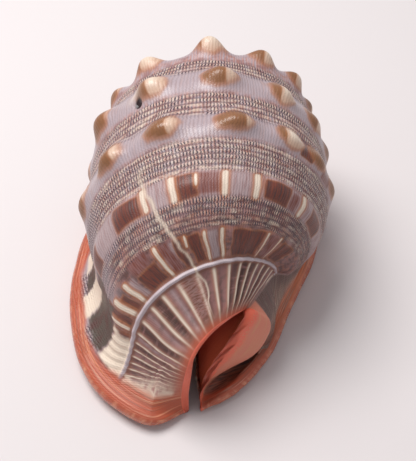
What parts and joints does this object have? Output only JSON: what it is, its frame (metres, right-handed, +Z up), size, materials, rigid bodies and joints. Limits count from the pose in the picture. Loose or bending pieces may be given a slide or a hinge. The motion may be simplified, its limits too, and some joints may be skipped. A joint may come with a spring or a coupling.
{
  "type": "helmet seashell",
  "caption": "Heavy knobbed helmet seashell with a flared toothed lip, a broad shield and an upturned canal, resting on its flat side.",
  "frame": {"origin": "on the ground, at the middle of the shell's outline seen from above", "axes": "+Y to the tip of the spire, -Y to the canal, -X to the flared lip, +X to the shield, +Z up"},
  "size_m": [0.1148, 0.1536, 0.0919],
  "materials": {
    "shell": "polished"
  },
  "bodies": {
    "root": {"shell": "shell"}
  },
  "joints": []
}
